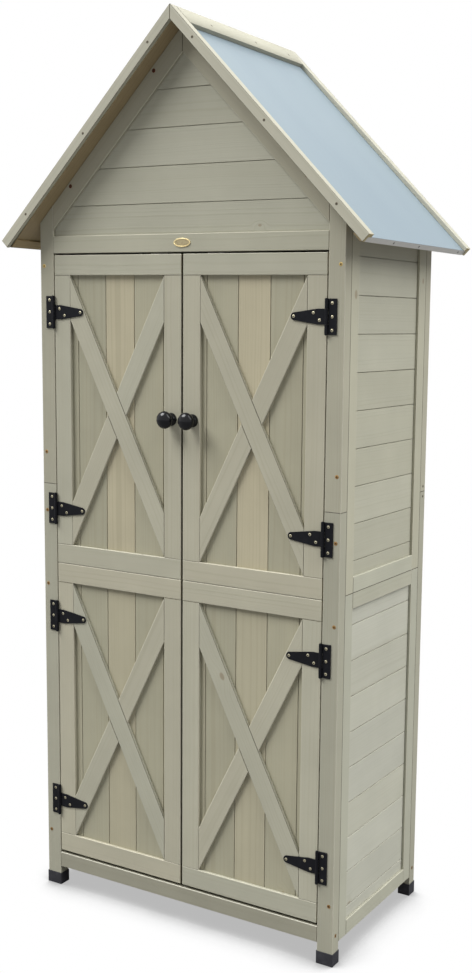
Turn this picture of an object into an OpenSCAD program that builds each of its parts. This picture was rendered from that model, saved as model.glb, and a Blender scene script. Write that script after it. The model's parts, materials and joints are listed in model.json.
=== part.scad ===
// Garden storage shed: a tall, narrow timber cabinet with two braced door leaves and a steep sheet-steel roof.
// Millimetres, +Z up, +X to the right as seen from the front, front faces towards -Y.
// The origin is on the ground, under the middle of the roof's outline.

/* [Body] */
// Width across the outside faces of the posts
body_w = 744; // [660:1:860]
// Depth across the outside faces of the posts
body_d = 386; // [330:1:460]
// Height of the lower edge of the sill and the panels above the ground
skirt_h = 44; // [36:1:70]
// Height of the joint between the lower and the upper panels
panel_seam_h = 759.5; // [660:0.5:860]
// Rise of the roof seat at the posts' outside faces above the lintel
seat_rise = 28.5; // [16:0.5:60]

/* [Posts and feet] */
// Width of each front post
front_post_w = 36; // [32:1:48]
// Width of each rear post
rear_post_w = 26; // [22:1:40]
// Depth of every post, front to rear
post_d = 25; // [22:1:36]
// Height of the joint between the two lengths of a post
post_joint_h = 925.5; // [820:0.5:1080]
// Diameter of the dowel in each post joint
dowel_d = 10; // [6:0.5:14]
// Length of that dowel
dowel_len = 60; // [40:1:90]
// Height of the foot caps
foot_h = 27; // [18:1:34]
// Side wall of a foot cap
foot_wall = 1.2; // [0.8:0.1:3]
// Thickness of the floor of a foot cap
foot_base = 2; // [1:0.5:5]

/* [Panels] */
// Thickness of the panel frames
panel_t = 18; // [16:0.5:22]
// Width of the stiles and rails of the panels
panel_bar_w = 32; // [26:1:44]
// Setback of the cladding from the face of its frame
panel_recess = 6; // [4:0.5:8]
// Width of the rebate that takes the edges of the boards
rebate_w = 8; // [5:0.5:12]

/* [Cladding boards] */
// Thickness of the cladding boards
board_t = 8; // [7:0.5:10]
// Cover width of a cladding board
board_cover = 74; // [60:1:100]
// Open gap between the faces of two boards
board_gap = 1.6; // [1:0.1:2.5]
// Length of the tongue on a board
tongue_len = 5; // [3:0.5:7]
// Thickness of the tongue
tongue_t = 2.6; // [2:0.1:3.5]
// Width of the lowest board of a lower panel
lower_first_board = 32.5; // [22:0.5:60]
// Width of the lowest board of an upper panel
upper_first_board = 38; // [22:0.5:60]
// Width of the lowest board of a gable
gable_first_board = 61.5; // [30:0.5:70]

/* [Front opening] */
// Height of the sill under the doors
sill_h = 34; // [26:1:44]
// Height of the lintel over the doors
lintel_h = 36; // [30:1:50]
// Gap between the sill and the leaves
door_bottom_gap = 6.5; // [3:0.5:10]
// Gap between the leaves and the lintel
door_top_gap = 4; // [2:0.5:8]
// Gap between a leaf and its post
jamb_gap = 2.5; // [2:0.1:4]
// Gap between the two leaves
meeting_gap = 5; // [3:0.5:8]

/* [Door leaves] */
// Height of each framed section of a leaf
section_h = 666; // [600:1:740]
// Seam between the two sections of a leaf
section_seam = 1; // [0.5:0.1:3]
// Thickness of the leaf frames
leaf_t = 18; // [16:0.5:22]
// Width of the stiles and rails of a leaf
leaf_bar_w = 42; // [36:1:54]
// Setback of the door boards, and the thickness of the braces
leaf_recess = 7; // [5:0.5:8]
// Height of the upright cut at the ends of a brace
brace_cut_h = 94; // [70:1:120]
// Cover width of a door board
door_board_cover = 74.5; // [60:0.5:100]
// Width of the left leaf's board next to the hinges
left_first_board = 25; // [14:0.5:50]
// Width of the right leaf's board next to the hinges
right_first_board = 20; // [14:0.5:50]

/* [T hinges] */
// Distance of the outer hinges from the ends of a section, to their middle
hinge_inset = 120; // [90:1:180]
// Height of the hinge plate on the post
hinge_plate_h = 68; // [60:1:90]
// Reach of that plate from the pin
hinge_plate_w = 21.5; // [20:0.5:26]
// Reach of the strap from the pin
strap_len = 79; // [66:1:110]
// Width of the strap at the pin
strap_w = 30; // [24:1:36]
// Length of the strap before it tapers
strap_parallel = 20; // [12:1:30]
// Radius of the rounded strap end
strap_tip_r = 7.5; // [6:0.5:10]
// Sheet thickness of the hinges
hinge_t = 2; // [1.5:0.1:2.5]
// Outer radius of the knuckles
knuckle_r = 3.4; // [3.2:0.1:4.2]
// Radius of the hinge pin
pin_r = 1.5; // [1.2:0.1:1.8]
// Radius of the screw heads
screw_head_r = 3.4; // [2.8:0.1:4]
// Height of the screw heads
screw_head_h = 1; // [0.6:0.1:1.1]

/* [Knobs, plate and catches] */
// Height of the knobs above the foot of the upper section
knob_rise = 332.5; // [120:0.5:560]
// Largest radius of a knob
knob_r = 18; // [14:0.5:20]
// Radius of the foot of a knob
knob_foot_r = 13.5; // [10:0.5:16]
// Length of a knob
knob_len = 36; // [28:1:42]
// Width of the oval plate on the lintel
plate_w = 41; // [30:1:70]
// Height of the oval plate
plate_h = 18; // [14:1:26]
// Thickness of the oval plate
plate_t = 1.5; // [1:0.1:3]
// Width of a door catch
catch_w = 44; // [30:1:60]
// Depth of a door catch behind the lintel
catch_d = 14; // [8:1:20]
// Distance of the catches from the middle of the front
catch_x = 70; // [40:1:140]
// Thickness of the strike plates and joining plates
inner_plate_t = 1.5; // [1:0.1:3]
// Length of the plates that join the two sections of a leaf
joining_plate_len = 110; // [70:1:160]
// Width of those plates
joining_plate_w = 20; // [12:1:28]

/* [Roof] */
// Pitch of both slopes, in degrees
pitch = 45; // [38:1:50]
// Reach of the roof past the posts, on each side
eave_overhang = 70; // [50:1:90]
// Reach of the roof past the front of the posts
front_overhang = 43; // [40:1:70]
// Reach of the roof past the rear of the posts
rear_overhang = 45; // [20:1:70]
// Thickness of the roof deck
deck_t = 12; // [9:0.5:18]
// Thickness of the steel sheet
sheet_t = 0.7; // [0.5:0.1:1.5]
// Setback of the deck from the lower ends of the bargeboards
deck_setback = 3; // [1:0.5:10]
// Thickness of the lip of a bargeboard over the sheet
lip_t = 9; // [6:0.5:12]
// Width of that lip
lip_w = 20; // [16:0.5:30]
// Thickness of the face of a bargeboard
barge_t = 9; // [7:0.5:12]
// Width of the face of a bargeboard
barge_w = 20; // [18:0.5:30]
// Width of a ridge board
ridge_board_w = 48; // [36:1:70]
// Width of the batten under each eave
eave_batten_w = 20; // [14:1:26]
// Thickness of that batten
eave_batten_t = 4; // [3:0.5:8]
// Width of the gable rafters
rafter_w = 36; // [30:1:48]

/* [Inside] */
// Thickness of the floor boards and shelf slats
floor_t = 12; // [9:0.5:14]
// Depth of the floor's top under the top of the sill
floor_drop = 2; // [0:0.5:4]
// Side of the square bearers under the shelves
bearer_w = 20; // [16:1:26]
// Height of the top of the lower shelf
lower_shelf_h = 520; // [380:1:640]
// Height of the top of the upper shelf
upper_shelf_h = 965; // [820:1:1150]
// Number of slats in a shelf
slat_count = 4; // [3:1:5]
// Gap between two slats
slat_gap = 8; // [4:1:14]
// Setback of the shelves from the posts' rear faces
shelf_setback = 6; // [4:1:20]

/* [Hidden] */

$fn = 48;

// Finishes
timber = [0.66, 0.65, 0.56];
inner_timber = [0.72, 0.68, 0.56];
raw_timber = [0.76, 0.66, 0.48];
steel = [0.72, 0.78, 0.82];
black = [0.09, 0.09, 0.10];
brass = [0.80, 0.66, 0.38];
zinc = [0.74, 0.75, 0.76];

// Clearances
joint_gap = 0.25;   // between two timbers of one frame, so that each stays a piece of its own
board_fit = 0.4;    // round the edges of the boards in their rebate, and round a tongue
seat_gap = 0.3;     // under the roof deck
dowel_fit = 0.1;    // round a dowel
dowel_end_gap = 1;  // past each end of a dowel
foot_fit = 0.1;     // between a post and its cap
pin_fit = 0.05;     // round a hinge pin
knuckle_gap = 0.3;  // between the knuckles of the plate and the strap
catch_gap = 0.3;    // between a catch and its strike plate

// Heights
sill_top = skirt_h + sill_h;
leaf_z = sill_top + door_bottom_gap;
upper_section_z = leaf_z + section_h + section_seam;
leaf_top = upper_section_z + section_h;
lintel_z = leaf_top + door_top_gap;
lintel_top = lintel_z + lintel_h;
eaves_h = lintel_top + seat_rise;
floor_top = sill_top - floor_drop;
knob_z = upper_section_z + knob_rise;

// Widths and depths
front_y = -(body_d + rear_overhang - front_overhang) / 2;
jamb_x = body_w / 2 - front_post_w;
rear_jamb_x = body_w / 2 - rear_post_w;
inner_x = body_w / 2 - panel_t;
leaf_w = jamb_x - jamb_gap - meeting_gap / 2;
inner_d = body_d - 2 * post_d;
hinge_x = jamb_x - jamb_gap / 2;
knob_x = meeting_gap / 2 + leaf_bar_w / 2 + 3;
hinge_heights = [
    for (base = [leaf_z, upper_section_z]) for (rise = [hinge_inset, section_h - hinge_inset]) base + rise
];

// Roof, measured down from the top of the lips
sheet_n = -lip_t;
deck_n = -(lip_t + sheet_t);
seat_n = -(lip_t + sheet_t + deck_t);
slope_len = (body_w / 2 + eave_overhang) / cos(pitch);
deck_end = slope_len - deck_setback;
deck_front = -front_overhang + barge_t;
deck_len = body_d + rear_overhang - barge_t - deck_front;
seat_apex = eaves_h + body_w / 2 * tan(pitch);
roof_apex = seat_apex - seat_n / cos(pitch);

// Height of the roof seat over a point x from the middle
function seat_z(x) = seat_apex - abs(x) * tan(pitch) - seat_gap;

// Puts a piece drawn from the front face of the posts into the shed's own frame
module shed() {
    translate([0, front_y, 0]) children();
}

// A box between two corners
module block(from, to) {
    translate(from) cube(to - from);
}

// An outline drawn in X and Z, from depth y over a thickness t
module upright(y, t) {
    translate([0, y + t, 0]) rotate([90, 0, 0]) linear_extrude(t) children();
}

// The piece itself and its mirror image across the middle of the shed
module both_sides() {
    children();
    mirror([1, 0, 0]) children();
}

// Posts

module post_outline(width, z0, z1_outer, z1_inner) {
    outer = body_w / 2;
    polygon([[outer - width, z0], [outer, z0], [outer, z1_outer], [outer - width, z1_inner]]);
}

module dowel_hole(width, y) {
    z0 = post_joint_h - dowel_len / 2 - dowel_end_gap;
    translate([body_w / 2 - width / 2, y + post_d / 2, z0])
        cylinder(r = dowel_d / 2 + dowel_fit, h = dowel_len + 2 * dowel_end_gap);
}

module lower_post(width, y) {
    top = post_joint_h - joint_gap / 2;
    difference() {
        upright(y, post_d) post_outline(width, foot_base, top, top);
        dowel_hole(width, y);
    }
}

module upper_post(width, y) {
    outer = body_w / 2;
    difference() {
        upright(y, post_d)
            post_outline(width, post_joint_h + joint_gap / 2, seat_z(outer), seat_z(outer - width));
        dowel_hole(width, y);
    }
}

module front_right_lower_post() {
    color(timber) shed() lower_post(front_post_w, 0);
}

module front_left_lower_post() {
    mirror([1, 0, 0]) front_right_lower_post();
}

module front_right_upper_post() {
    color(timber) shed() upper_post(front_post_w, 0);
}

module front_left_upper_post() {
    mirror([1, 0, 0]) front_right_upper_post();
}

module rear_lower_posts() {
    color(timber) shed() both_sides() lower_post(rear_post_w, body_d - post_d);
}

module rear_upper_posts() {
    color(timber) shed() both_sides() upper_post(rear_post_w, body_d - post_d);
}

module post_dowels() {
    for (post = [[front_post_w, 0], [rear_post_w, body_d - post_d]])
        color(raw_timber) shed() both_sides()
            translate([body_w / 2 - post[0] / 2, post[1] + post_d / 2, post_joint_h - dowel_len / 2])
                cylinder(d = dowel_d, h = dowel_len);
}

module foot_cap(width, y) {
    rim = foot_wall + foot_fit;
    x0 = body_w / 2 - width;
    difference() {
        block([x0 - rim, y - rim, 0], [body_w / 2 + rim, y + post_d + rim, foot_h]);
        block([x0 - foot_fit, y - foot_fit, foot_base],
              [body_w / 2 + foot_fit, y + post_d + foot_fit, foot_h + 1]);
    }
}

module foot_caps() {
    color(black) shed() both_sides() {
        foot_cap(front_post_w, 0);
        foot_cap(rear_post_w, body_d - post_d);
    }
}

// Boards

// Section of one tongued board in Y and Z: its face looks towards -Y, its tongue points up
module board_section(z0, z1, t, tongue, groove) {
    mid = t / 2;
    slot = tongue_t / 2 + board_fit / 2;
    deep = tongue_len + board_fit;
    top = tongue
        ? [[t, z1], [mid + tongue_t / 2, z1], [mid + tongue_t / 2, z1 + tongue_len],
           [mid - tongue_t / 2, z1 + tongue_len], [mid - tongue_t / 2, z1], [0, z1]]
        : [[t, z1], [0, z1]];
    bottom = groove
        ? [[0, z0], [mid - slot, z0], [mid - slot, z0 + deep], [mid + slot, z0 + deep],
           [mid + slot, z0], [t, z0]]
        : [[0, z0], [t, z0]];
    polygon(concat(bottom, top));
}

// A row of boards that run along X and stack up Z, from the origin
module board_row(run, stack, first, cover, t) {
    full = stack - first - tongue_len - board_gap;
    rows = full > 0 ? ceil(full / cover) : 0;
    for (i = [0 : rows]) {
        z0 = i == 0 ? 0 : first + (i - 1) * cover;
        z1 = i == rows ? stack : first + i * cover - board_gap;
        rotate([90, 0, 90]) linear_extrude(run) board_section(z0, z1, t, i < rows, i > 0);
    }
}

// Framed panels, drawn with their outside face on Y = 0 and their lower left corner at the origin

module pocket(w, h, bar, t, recess) {
    edge = bar - rebate_w;
    block([edge, recess, edge], [w - edge, t + 1, h - edge]);
}

// Stiles run the full height, and the rails fit between them
module stile_frame(w, h, bar, t, recess) {
    for (x = [0, w - bar])
        difference() {
            block([x, 0, 0], [x + bar, t, h]);
            pocket(w, h, bar, t, recess);
        }
    for (z = [0, h - bar])
        difference() {
            block([bar + joint_gap, 0, z], [w - bar - joint_gap, t, z + bar]);
            pocket(w, h, bar, t, recess);
        }
}

// Rails run the full width, and the stiles fit between them
module rail_frame(w, h, bar, t, recess) {
    for (z = [0, h - bar])
        difference() {
            block([0, 0, z], [w, t, z + bar]);
            pocket(w, h, bar, t, recess);
        }
    for (x = [0, w - bar])
        difference() {
            block([x, 0, bar + joint_gap], [x + bar, t, h - bar - joint_gap]);
            pocket(w, h, bar, t, recess);
        }
}

module panel_boards(w, h, bar, recess, first) {
    edge = bar - rebate_w + board_fit;
    translate([edge, recess, edge]) board_row(w - 2 * edge, h - 2 * edge, first, board_cover, board_t);
}

// Side and rear panels

lower_panel_h = panel_seam_h - joint_gap / 2 - skirt_h;
upper_panel_z = panel_seam_h + joint_gap / 2;
side_upper_h = eaves_h - seat_gap - upper_panel_z;
rear_upper_h = lintel_top - upper_panel_z;
side_panel_w = inner_d - 2 * joint_gap;
rear_panel_w = 2 * (rear_jamb_x - joint_gap);

module on_right_side(z) {
    translate([body_w / 2, post_d + joint_gap, z]) rotate([0, 0, 90]) children();
}

module on_rear(z) {
    translate([rear_panel_w / 2, body_d, z]) rotate([0, 0, 180]) children();
}

module right_lower_panel_frame() {
    color(timber) shed() on_right_side(skirt_h)
        stile_frame(side_panel_w, lower_panel_h, panel_bar_w, panel_t, panel_recess);
}

module left_lower_panel_frame() {
    mirror([1, 0, 0]) right_lower_panel_frame();
}

module right_upper_panel_frame() {
    color(timber) shed() on_right_side(upper_panel_z)
        stile_frame(side_panel_w, side_upper_h, panel_bar_w, panel_t, panel_recess);
}

module left_upper_panel_frame() {
    mirror([1, 0, 0]) right_upper_panel_frame();
}

module right_panel_boards() {
    color(inner_timber) shed() {
        on_right_side(skirt_h)
            panel_boards(side_panel_w, lower_panel_h, panel_bar_w, panel_recess, lower_first_board);
        on_right_side(upper_panel_z)
            panel_boards(side_panel_w, side_upper_h, panel_bar_w, panel_recess, upper_first_board);
    }
}

module left_panel_boards() {
    mirror([1, 0, 0]) right_panel_boards();
}

module rear_lower_panel_frame() {
    color(timber) shed() on_rear(skirt_h)
        stile_frame(rear_panel_w, lower_panel_h, panel_bar_w, panel_t, panel_recess);
}

module rear_upper_panel_frame() {
    color(timber) shed() on_rear(upper_panel_z)
        stile_frame(rear_panel_w, rear_upper_h, panel_bar_w, panel_t, panel_recess);
}

module rear_panel_boards() {
    color(inner_timber) shed() {
        on_rear(skirt_h)
            panel_boards(rear_panel_w, lower_panel_h, panel_bar_w, panel_recess, lower_first_board);
        on_rear(upper_panel_z)
            panel_boards(rear_panel_w, rear_upper_h, panel_bar_w, panel_recess, upper_first_board);
    }
}

// Gables, drawn with their outside face on Y = 0

// Height of a line that runs the depth n under the roof seat
function rafter_z(x, n) = seat_z(x) - n / cos(pitch);

module gable_rafter(reach) {
    foot = reach - joint_gap;
    gap = joint_gap / 2;
    edge = rafter_w - rebate_w;
    difference() {
        upright(0, panel_t) polygon([
            [gap, rafter_z(gap, 0)], [foot, rafter_z(foot, 0)],
            [foot, rafter_z(foot, rafter_w)], [gap, rafter_z(gap, rafter_w)],
        ]);
        upright(panel_recess, panel_t) polygon([
            [-1, lintel_top], [-1, rafter_z(-1, edge)], [0, rafter_z(0, edge)],
            [reach + 1, rafter_z(reach + 1, edge)], [reach + 1, lintel_top],
        ]);
    }
}

module gable_boards(reach) {
    side = reach - board_fit;
    edge = rafter_w - rebate_w + board_fit;
    intersection() {
        translate([-side, panel_recess, lintel_top])
            board_row(2 * side, rafter_z(0, edge) - lintel_top, gable_first_board, board_cover, board_t);
        upright(0, panel_t) polygon([
            [-side, lintel_top], [side, lintel_top], [side, rafter_z(side, edge)],
            [0, rafter_z(0, edge)], [-side, rafter_z(side, edge)],
        ]);
    }
}

module front_gable_rafters() {
    color(timber) shed() both_sides() gable_rafter(jamb_x);
}

module front_gable_boards() {
    color(inner_timber) shed() gable_boards(jamb_x);
}

module rear_gable_rafters() {
    color(timber) shed() translate([0, body_d, 0]) mirror([0, 1, 0]) both_sides() gable_rafter(rear_jamb_x);
}

module rear_gable_boards() {
    color(inner_timber) shed() translate([0, body_d, 0]) mirror([0, 1, 0]) gable_boards(rear_jamb_x);
}

// Front rails

module front_rail(z0, z1) {
    reach = jamb_x - joint_gap;
    block([-reach, 0, z0], [reach, post_d, z1]);
}

module lintel() {
    color(timber) shed() front_rail(lintel_z, lintel_top);
}

module sill() {
    color(timber) shed() front_rail(skirt_h, sill_top);
}

// Floor and shelves

inner_y0 = post_d + joint_gap;
inner_y1 = body_d - post_d - joint_gap;

module floor_boards() {
    reach = inner_x - joint_gap;
    color(raw_timber) shed() translate([-reach, inner_y0, floor_top])
        rotate([-90, 0, 0]) board_row(2 * reach, inner_y1 - inner_y0, board_cover, board_cover, floor_t);
}

module floor_bearers() {
    z1 = floor_top - floor_t;
    color(raw_timber) shed() {
        both_sides() block([inner_x - bearer_w, inner_y0, skirt_h], [inner_x, inner_y1, z1]);
        block([-bearer_w / 2, post_d, skirt_h], [bearer_w / 2, body_d - panel_t, z1]);
    }
}

module shelf(top) {
    reach = inner_x - joint_gap;
    y0 = post_d + shelf_setback;
    slat_w = (inner_y1 - y0 - (slat_count - 1) * slat_gap) / slat_count;
    for (i = [0 : slat_count - 1])
        translate([-reach, y0 + i * (slat_w + slat_gap), top - floor_t])
            cube([2 * reach, slat_w, floor_t]);
}

module lower_shelf() {
    color(raw_timber) shed() shelf(lower_shelf_h);
}

module upper_shelf() {
    color(raw_timber) shed() shelf(upper_shelf_h);
}

module shelf_bearers() {
    for (top = [lower_shelf_h, upper_shelf_h])
        color(raw_timber) shed() both_sides()
            block([inner_x - bearer_w, inner_y0, top - floor_t - bearer_w], [inner_x, inner_y1, top - floor_t]);
}

// Roof. A slope is drawn with X down the slope, Z square to it and its top edge on the ridge

module right_slope() {
    translate([0, 0, roof_apex]) rotate([0, pitch, 0]) children();
}

// A layer of the slope between two depths, plumb at the ridge and square at its lower end
module layer(top, bottom, end, y, t) {
    upright(y, t) polygon([
        [-top * tan(pitch) + joint_gap, top], [end, top],
        [end, bottom], [-bottom * tan(pitch) + joint_gap, bottom],
    ]);
}

module right_roof_deck() {
    color(raw_timber) shed() right_slope() layer(deck_n, seat_n, deck_end, deck_front, deck_len);
}

module left_roof_deck() {
    mirror([1, 0, 0]) right_roof_deck();
}

module right_roof_sheet() {
    color(steel) shed() right_slope() {
        layer(sheet_n, deck_n, deck_end + sheet_t, deck_front, deck_len);
        block([deck_end, deck_front, seat_n], [deck_end + sheet_t, deck_front + deck_len, deck_n]);
    }
}

module left_roof_sheet() {
    mirror([1, 0, 0]) right_roof_sheet();
}

// The battens stand back from the deck's lower end by their own thickness, so that the flange hides them
module eave_battens() {
    batten_end = deck_end - eave_batten_t;
    color(timber) shed() both_sides() right_slope()
        block([batten_end - eave_batten_w, deck_front, seat_n - eave_batten_t],
              [batten_end, deck_front + deck_len, seat_n]);
}

// An L section: a face that covers the end of the deck, and a lip that laps over the sheet
module bargeboard(y_face, y_lip) {
    layer(0, -barge_w, slope_len, y_face, barge_t);
    layer(0, sheet_n, slope_len, y_lip, lip_w);
}

module front_right_bargeboard() {
    color(timber) shed() right_slope() bargeboard(-front_overhang, -front_overhang);
}

module front_left_bargeboard() {
    mirror([1, 0, 0]) front_right_bargeboard();
}

module rear_right_bargeboard() {
    rear = body_d + rear_overhang;
    color(timber) shed() right_slope() bargeboard(rear - barge_t, rear - lip_w);
}

module rear_left_bargeboard() {
    mirror([1, 0, 0]) rear_right_bargeboard();
}

module ridge_boards() {
    y0 = -front_overhang + lip_w + joint_gap;
    y1 = body_d + rear_overhang - lip_w - joint_gap;
    color(timber) shed() both_sides() right_slope() layer(0, sheet_n, ridge_board_w, y0, y1 - y0);
}

// T hinges. One is drawn with its pin on Z, its plate towards +X and its strap towards -X

// The two posts of a hinge line: the right one, or its mirror image
module at_right_hinges() {
    for (z = hinge_heights)
        translate([hinge_x, -knuckle_r, z]) children();
}

strap_half = strap_w / 2;
plate_screw_x = hinge_plate_w / 2 + 1;
plate_screw_z = hinge_plate_h / 2 - 8.5;
strap_screws = [[-(strap_parallel - 4.5), -strap_half / 2 + 0.5], [-(strap_parallel + 9), strap_half / 2 - 0.5],
                [-(strap_len - strap_tip_r + 1), 0]];
plate_screws = [[plate_screw_x, -plate_screw_z], [plate_screw_x, 0], [plate_screw_x, plate_screw_z]];

module screw_holes(places) {
    for (place = places)
        translate([place[0], knuckle_r - hinge_t - 1, place[1]]) rotate([-90, 0, 0])
            cylinder(r = screw_head_r / 2 + joint_gap, h = hinge_t + 2);
}

module pin_hole() {
    translate([0, 0, -hinge_plate_h]) cylinder(r = pin_r + pin_fit, h = 2 * hinge_plate_h);
}

module hinge_plate() {
    half = hinge_plate_h / 2;
    notch = strap_half + knuckle_gap;
    difference() {
        union() {
            block([0, knuckle_r - hinge_t, -half], [hinge_plate_w, knuckle_r, half]);
            translate([0, 0, -half]) cylinder(r = knuckle_r, h = hinge_plate_h);
        }
        block([-knuckle_r - 1, -knuckle_r - 1, -notch], [knuckle_r + knuckle_gap, knuckle_r + 1, notch]);
        pin_hole();
        screw_holes(plate_screws);
    }
}

module hinge_strap() {
    taper = -(strap_len - strap_tip_r);
    difference() {
        union() {
            upright(knuckle_r - hinge_t, hinge_t) polygon([
                [0, -strap_half], [0, strap_half], [-strap_parallel, strap_half],
                [taper, strap_tip_r], [taper, -strap_tip_r], [-strap_parallel, -strap_half],
            ]);
            translate([taper, knuckle_r - hinge_t, 0]) rotate([-90, 0, 0]) cylinder(r = strap_tip_r, h = hinge_t);
            translate([0, 0, -strap_half]) cylinder(r = knuckle_r, h = strap_w);
        }
        pin_hole();
        screw_holes(strap_screws);
    }
}

// A pin with a small head at each end of the knuckles
module hinge_pin() {
    half = hinge_plate_h / 2;
    translate([0, 0, -half - 1]) cylinder(r = pin_r, h = hinge_plate_h + 2);
    for (z = [-half - 1, half])
        translate([0, 0, z]) cylinder(r = knuckle_r - 0.8, h = 1);
}

// Low round heads with a short shank through the sheet
module screw_set(places) {
    for (place = places)
        translate([place[0], knuckle_r, place[1]]) rotate([90, 0, 0]) {
            cylinder(r = screw_head_r / 2, h = hinge_t + screw_head_h);
            translate([0, 0, hinge_t]) cylinder(r1 = screw_head_r, r2 = screw_head_r * 0.75, h = screw_head_h);
        }
}

module right_hinge_plates() {
    color(black) shed() at_right_hinges() hinge_plate();
}

module left_hinge_plates() {
    mirror([1, 0, 0]) right_hinge_plates();
}

module hinge_pins() {
    color(black) shed() both_sides() at_right_hinges() hinge_pin();
}

module hinge_plate_screws() {
    color(brass) shed() both_sides() at_right_hinges() screw_set(plate_screws);
}

module right_hinge_straps() {
    color(black) shed() at_right_hinges() hinge_strap();
}

// The straps of the left leaf are the same ones turned upside down
module at_left_hinges() {
    mirror([1, 0, 0]) at_right_hinges() mirror([0, 0, 1]) children();
}

module left_hinge_straps() {
    color(black) shed() at_left_hinges() hinge_strap();
}

module right_strap_screws() {
    color(brass) shed() at_right_hinges() screw_set(strap_screws);
}

module left_strap_screws() {
    color(brass) shed() at_left_hinges() screw_set(strap_screws);
}

// Door leaves. A leaf is drawn from its hinged edge, as the left one

leaf_x = -(jamb_x - jamb_gap);

module leaf_section_frame(z) {
    translate([leaf_x, 0, z]) rail_frame(leaf_w, section_h, leaf_bar_w, leaf_t, leaf_recess);
}

module leaf_section_boards(z, first) {
    edge = leaf_bar_w - rebate_w + board_fit;
    translate([leaf_x + edge, leaf_recess, z + edge]) mirror([1, 0, 0]) rotate([0, -90, 0])
        board_row(section_h - 2 * edge, leaf_w - 2 * edge, first, door_board_cover, board_t);
}

// One brace as a board with upright ends, falling from the left stile to the right one
module brace_outline(widen) {
    x0 = leaf_bar_w + joint_gap;
    x1 = leaf_w - leaf_bar_w - joint_gap;
    z0 = leaf_bar_w + joint_gap;
    z1 = section_h - leaf_bar_w - joint_gap;
    polygon([[x0, z1 + widen], [x1, z0 + brace_cut_h + widen], [x1, z0 - widen], [x0, z1 - brace_cut_h - widen]]);
}

// The falling brace is whole, and the rising one is two halves that butt against it
module section_braces() {
    gap = joint_gap / cos(atan((section_h - 2 * leaf_bar_w - brace_cut_h) / (leaf_w - 2 * leaf_bar_w)));
    upright(0, leaf_recess) brace_outline(0);
    difference() {
        upright(0, leaf_recess) translate([leaf_w, 0]) mirror([1, 0]) brace_outline(0);
        upright(-1, leaf_recess + 2) brace_outline(gap);
    }
}

module leaf_braces(x) {
    for (z = [leaf_z, upper_section_z])
        translate([x, 0, z]) section_braces();
}

// Plates that join the two sections at each stile, and the strike plate of the catch
module leaf_inner_plates() {
    seam = leaf_z + section_h + section_seam / 2;
    half = joining_plate_len / 2;
    for (x = [leaf_x + leaf_bar_w / 2, leaf_x + leaf_w - leaf_bar_w / 2])
        block([x - joining_plate_w / 2, leaf_t, seam - half],
              [x + joining_plate_w / 2, leaf_t + inner_plate_t, seam + half]);
    block([-catch_x - catch_w / 2 + 2, leaf_t, leaf_top - leaf_bar_w / 2],
          [-catch_x + catch_w / 2 - 2, leaf_t + inner_plate_t, leaf_top - 2]);
}

// A turned knob on a flared foot, as half its outline round the Z axis
module knob() {
    neck = knob_foot_r * 0.62;
    mid = knob_len * 0.64;
    belly = knob_len - mid;
    crown = [for (a = [-50 : 10 : 90]) [knob_r * cos(a), mid + belly * sin(a)]];
    rotate_extrude() polygon(concat(
        [[0, 0], [knob_foot_r, 0], [knob_foot_r, knob_len * 0.09], [knob_foot_r * 0.86, knob_len * 0.17],
         [neck, knob_len * 0.24], [neck, knob_len * 0.3]],
        crown));
}

module leaf_knob() {
    translate([-knob_x, 0, knob_z]) rotate([90, 0, 0]) knob();
}

module left_leaf_upper_frame() {
    color(timber) shed() leaf_section_frame(upper_section_z);
}

module left_leaf_lower_frame() {
    color(timber) shed() leaf_section_frame(leaf_z);
}

module left_leaf_boards() {
    color(inner_timber) shed() for (z = [leaf_z, upper_section_z]) leaf_section_boards(z, left_first_board);
}

module left_leaf_braces() {
    color(timber) shed() leaf_braces(leaf_x);
}

module left_leaf_inner_plates() {
    color(zinc) shed() leaf_inner_plates();
}

module left_knob() {
    color(black) shed() leaf_knob();
}

module right_leaf_upper_frame() {
    mirror([1, 0, 0]) left_leaf_upper_frame();
}

module right_leaf_lower_frame() {
    mirror([1, 0, 0]) left_leaf_lower_frame();
}

module right_leaf_boards() {
    color(inner_timber) shed() mirror([1, 0, 0])
        for (z = [leaf_z, upper_section_z]) leaf_section_boards(z, right_first_board);
}

module right_leaf_braces() {
    color(timber) shed() leaf_braces(meeting_gap / 2);
}

module right_leaf_inner_plates() {
    mirror([1, 0, 0]) left_leaf_inner_plates();
}

module right_knob() {
    mirror([1, 0, 0]) left_knob();
}

// Oval plate and catches on the lintel

module lintel_plate() {
    steps = 48;
    color(brass) shed() upright(-plate_t, plate_t) translate([0, (lintel_z + lintel_top) / 2])
        polygon([for (i = [0 : steps - 1])
            [plate_w / 2 * cos(360 * i / steps), plate_h / 2 * sin(360 * i / steps)]]);
}

// A catch is screwed to the back of the lintel, and its nose reaches forward to the strike plate
module door_catches() {
    nose_y = leaf_t + inner_plate_t + catch_gap;
    z0 = leaf_top - leaf_bar_w / 2;
    color("white") shed() both_sides() {
        block([catch_x - catch_w / 2, post_d, z0], [catch_x + catch_w / 2, post_d + catch_d, lintel_top - 8]);
        block([catch_x - catch_w / 2, nose_y, z0], [catch_x + catch_w / 2, post_d, lintel_z - joint_gap]);
    }
}

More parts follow.
